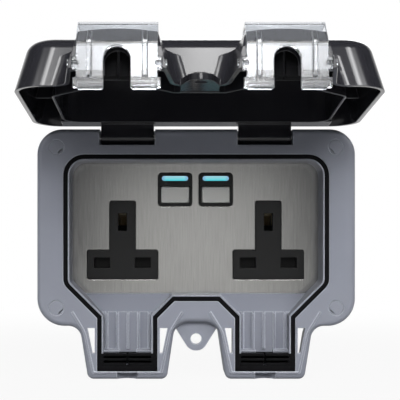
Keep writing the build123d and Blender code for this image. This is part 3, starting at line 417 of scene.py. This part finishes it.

# %% [markdown]
# ## Grey box and frame
# The box and its front frame are grey plastic with the satin skin of a textured mould. Their long edges are
# rounded in the shading, and a pale highlight line is painted along them. The screw caps are a shade
# lighter, with a fainter painted highlight line.

# %% Grey moulding
grey = moulded(
    "grey_moulding",
    dark=(0.25, 0.263, 0.312),
    light=(0.29, 0.306, 0.358),
    # edge: a pale highlight painted along the rounded edges
    edge=(0.66, 0.69, 0.77),
    rough=(0.42, 0.52),
    grain=2600.0,
    bump=0.12,
    edge_radius=0.0011,
)
dress(grey, "front_frame", "back_box")
cap_grey = moulded(
    "cap_grey",
    dark=(0.26, 0.273, 0.322),
    light=(0.3, 0.316, 0.368),
    edge=(0.5, 0.53, 0.6),
    rough=(0.42, 0.52),
    grain=2600.0,
    bump=0.12,
)
dress(cap_grey, "screw_caps")

# %% [markdown]
# ## Black lid
# The lid is polished black plastic. Almost all that is seen of it is what it mirrors, so the colour stays
# very dark and the roughness low. A grey highlight line is painted along its edges.

# %% Black lid
black_gloss = moulded(
    "black_lid",
    dark=(0.018, 0.018, 0.022),
    light=(0.025, 0.025, 0.03),
    edge=(0.12, 0.12, 0.13),
    rough=(0.13, 0.2),
    grain=900.0,
    bump=0.02,
    edge_radius=0.0006,
)
dress(black_gloss, "lid_shell")

# %% [markdown]
# ## Rubber
# Gaskets and cable seals are soft black rubber with a matt skin, so little is left of the shine that
# plastic has. A faint highlight is painted along their edges.

# %% Rubber
rubber = moulded(
    "black_rubber",
    dark=(0.002, 0.002, 0.0025),
    light=(0.004, 0.004, 0.005),
    edge=(0.01, 0.01, 0.011),
    rough=(0.55, 0.7),
    grain=3500.0,
    bump=0.15,
    specular=0.1,
)
dress(rubber, "box_seal", "lid_gasket", "cable_seal_left", "cable_seal_right")
dress(rubber, "lid_cable_seal_left", "lid_cable_seal_right")

# %% [markdown]
# ## Black socket fronts
# The T fronts and the surrounds of the buttons are black plastic with a satin skin. Here the edges are
# painted darker than the faces, as shade where they lie against the cut edge of the plate. The shutters
# behind the slots are black plastic painted darker still as shade, so that a slot reads as a hole, with a
# faint highlight painted along their edges.

# %% Black socket fronts
black_satin = moulded(
    "black_moulding",
    dark=(0.008, 0.008, 0.008),
    light=(0.012, 0.012, 0.012),
    # edge: painted shade, darker than the faces
    edge=(0.003, 0.003, 0.003),
    rough=(0.32, 0.42),
    grain=3000.0,
    bump=0.08,
    edge_radius=0.0007,
    specular=0.35,
)
dress(black_satin, "socket_moulding", "press_switches", "relay_left", "relay_right")
# shutters: black plastic painted darker as shade inside the slots; their edge tone is a painted highlight
shutter_black_and_shade = moulded(
    "shutter_black_and_shade",
    dark=(0.002, 0.002, 0.002),
    light=(0.004, 0.004, 0.004),
    edge=(0.02, 0.02, 0.02),
    rough=(0.35, 0.45),
    grain=3000.0,
    bump=0.08,
    specular=0.2,
)
dress(shutter_black_and_shade, "shutter_left", "shutter_right")

# %% [markdown]
# ## Buttons, board and inner plastics
# The buttons have a slightly metallic paint that goes with the steel, and a pale highlight painted as a rim
# along their rounded edges. The board and the rear housing are hidden while the socket is whole; their
# edges too get a painted highlight line.

# %% Buttons and inner plastics
button_paint = moulded(
    "button_grey",
    dark=(0.62, 0.62, 0.592),
    light=(0.68, 0.68, 0.652),
    # edge: the pale rim is a painted highlight
    edge=(0.9, 0.9, 0.88),
    rough=(0.34, 0.42),
    grain=4000.0,
    bump=0.05,
    edge_radius=0.0012,
    sharpness=14.0,
    metallic=0.3,
)
dress(button_paint, "button_left", "button_right")
board_lacquer = moulded(
    "board_green",
    dark=(0.02, 0.12, 0.05),
    light=(0.03, 0.17, 0.07),
    edge=(0.12, 0.2, 0.1),
    rough=(0.25, 0.35),
    grain=1200.0,
    bump=0.05,
)
dress(board_lacquer, "control_board")
module_plastic = moulded(
    "module_white",
    dark=(0.68, 0.68, 0.65),
    light=(0.75, 0.75, 0.72),
    edge=(0.82, 0.82, 0.8),
    rough=(0.4, 0.5),
    grain=2600.0,
    bump=0.08,
)
dress(module_plastic, "rear_housing")


# %% [markdown]
# ## Metals
# The face plate is stainless steel brushed upright. Brushing could be only a bump, but the eye also sees
# streaks of tone, so the grain drives colour, roughness and bump together, and a highlight is painted along
# its edges. Screws and pins use the same recipe with other colours and a finer grain. The contacts are brass
# painted nearly black on their faces as shade deep in the slots, with glints painted along their edges, and
# the moulded recipe with full Metallic gives just that.

# %% Metals
STREAK_HEIGHT = 0.0001
# painted highlight along the edges of the steel plate, screws and pins
STEEL_EDGE_HIGHLIGHT = (0.9, 0.9, 0.88)


def brushed_metal(name, dark, light, rough, across, along, bump, edge_radius=0.0002):
    """A brushed metal: streaks that change tone, roughness and relief together, and a highlight painted
    along the edges.
    """
    material, tree, shader = start_material(name)
    grain = place_group(tree, brushed_grain, Across_per_metre=across, Along_per_metre=along)
    rim = place_group(tree, soft_edge, Radius=edge_radius)
    streak = grain.outputs["Streak"]
    colour = blend_colours(tree, rim.outputs["Edge"], two_tone(tree, streak, dark, light), STEEL_EDGE_HIGHLIGHT)
    tree.links.new(colour, shader.inputs["Base Color"])
    tree.links.new(stretch_range(tree, streak, 0.0, 1.0, *rough), shader.inputs["Roughness"])
    add_relief(tree, shader, streak, rim, bump, STREAK_HEIGHT)
    shader.inputs["Metallic"].default_value = 1.0
    return material


plate_steel = brushed_metal(
    "brushed_plate",
    dark=(0.37, 0.367, 0.352),
    light=(0.51, 0.505, 0.486),
    rough=(0.14, 0.2),
    across=1500.0,
    along=70.0,
    bump=0.01,
    edge_radius=0.0007,
)
dress(plate_steel, "face_plate")
plated = brushed_metal(
    "plated_steel",
    dark=(0.5, 0.5, 0.5),
    light=(0.66, 0.66, 0.66),
    rough=(0.25, 0.35),
    across=3000.0,
    along=400.0,
    bump=0.05,
)
dress(plated, "frame_screws", "yoke_screws", "terminal_screws", "hinge_pin_left", "hinge_pin_right")
# contacts: faces painted nearly black as shade, edges painted with bright glints
brass = moulded(
    "contact_brass",
    dark=(0.025, 0.018, 0.01),
    light=(0.05, 0.036, 0.018),
    edge=(0.9, 0.8, 0.6),
    rough=(0.28, 0.4),
    grain=1500.0,
    bump=0.1,
    edge_radius=0.0012,
    sharpness=12.0,
    metallic=1.0,
)
dress(brass, "earth_bar", "neutral_bar", "terminal_posts", "line_contact_left", "line_contact_right")

# %% [markdown]
# ## Clear latch clips
# The clips are clear plastic with the faintest blue. Light goes through, so the black lid shows behind
# them, and both faces of the thin plate mirror the front box. That double mirror is what makes them look
# white. A clear sheet alone would lose its ribs and lips, so the edges are cloudier, as moulded edges of
# clear plastic are, and a grey is painted along them as shade.

# %% Clear clips
CLIP_EDGE_RADIUS = 0.0007
CLIP_BLUE, CLIP_CLEAR = (0.9, 0.93, 0.97), (0.95, 0.97, 1.0)
# grey painted along the clip edges as shade
CLIP_EDGE_SHADE = (0.5, 0.53, 0.58)
CLIP_HAZE = (0.02, 0.07)
CLIP_EDGE_HAZE = 0.5
CLIP_RIPPLE = 0.03
CLIP_IOR = 1.5

clear, tree, shader = start_material("clear_clip")
flow = place_group(tree, moulded_grain, Grain_per_metre=220.0, Drift_per_metre=60.0)
rim = place_group(tree, soft_edge, Radius=CLIP_EDGE_RADIUS)
tint = two_tone(tree, flow.outputs["Drift"], CLIP_BLUE, CLIP_CLEAR)
tint = blend_colours(tree, rim.outputs["Edge"], tint, CLIP_EDGE_SHADE)
tree.links.new(tint, shader.inputs["Base Color"])
haze = stretch_range(tree, flow.outputs["Drift"], 0.0, 1.0, *CLIP_HAZE)
edge_haze = math_node(tree, "MULTIPLY", rim.outputs["Edge"], CLIP_EDGE_HAZE)
tree.links.new(math_node(tree, "MAXIMUM", haze, edge_haze), shader.inputs["Roughness"])
add_relief(tree, shader, flow.outputs["Height"], rim, CLIP_RIPPLE, GRAIN_HEIGHT)
shader.inputs["Transmission Weight"].default_value = 1.0
shader.inputs["IOR"].default_value = CLIP_IOR
dress(clear, "clip_left", "clip_right")

# %% [markdown]
# ## Indicator lights
# Each bar is a light guide that glows turquoise. It is paler towards its top edge and bluer at its two ends,
# so the colour follows the height and the distance from the bar's middle. An even glow would look like a
# sticker.

# %% Indicator lights
BAR_BOTTOM, BAR_TOP = 0.0256, 0.0281
BAR_MIDDLE, BAR_HALF = 0.0111, 0.00715
END_START, END_FULL = 0.65 * BAR_HALF, 1.05 * BAR_HALF
BAR_LOW_TONE, BAR_HIGH_TONE = (0.05, 0.56, 0.6), (0.36, 0.66, 0.76)
BAR_END_TONE = (0.2, 0.33, 0.55)
BAR_ROUGH = (0.15, 0.3)
BAR_GLOW = 0.8

glowing, tree, shader = start_material("light_turquoise")
cloud = place_group(tree, moulded_grain, Grain_per_metre=900.0, Drift_per_metre=220.0)
spot = parts_of(tree, add_node(tree, "ShaderNodeTexCoord").outputs["Object"])
tone = two_tone(tree, stretch_range(tree, spot["Z"], BAR_BOTTOM, BAR_TOP), BAR_LOW_TONE, BAR_HIGH_TONE)
side = math_node(tree, "ABSOLUTE", spot["X"], 0.0)
reach = math_node(tree, "ABSOLUTE", math_node(tree, "SUBTRACT", side, BAR_MIDDLE), 0.0)
tone = blend_colours(tree, stretch_range(tree, reach, END_START, END_FULL), tone, BAR_END_TONE)
tree.links.new(tone, shader.inputs["Base Color"])
tree.links.new(tone, shader.inputs["Emission Color"])
rough = stretch_range(tree, cloud.outputs["Drift"], 0.0, 1.0, *BAR_ROUGH)
tree.links.new(rough, shader.inputs["Roughness"])
shader.inputs["Emission Strength"].default_value = BAR_GLOW
dress(glowing, "light_bar_left", "light_bar_right")


# %% [markdown]
# ## Finish
# A piece without a finish would stay plain white, so the last look is for those.

# %% Finish
def is_bare(node):
    """True for a piece that has no material with nodes."""
    slots = node.data.materials
    return not slots or not slots[0].use_nodes


print("undressed:", [name for name, node in socket_nodes.items() if is_bare(node)])
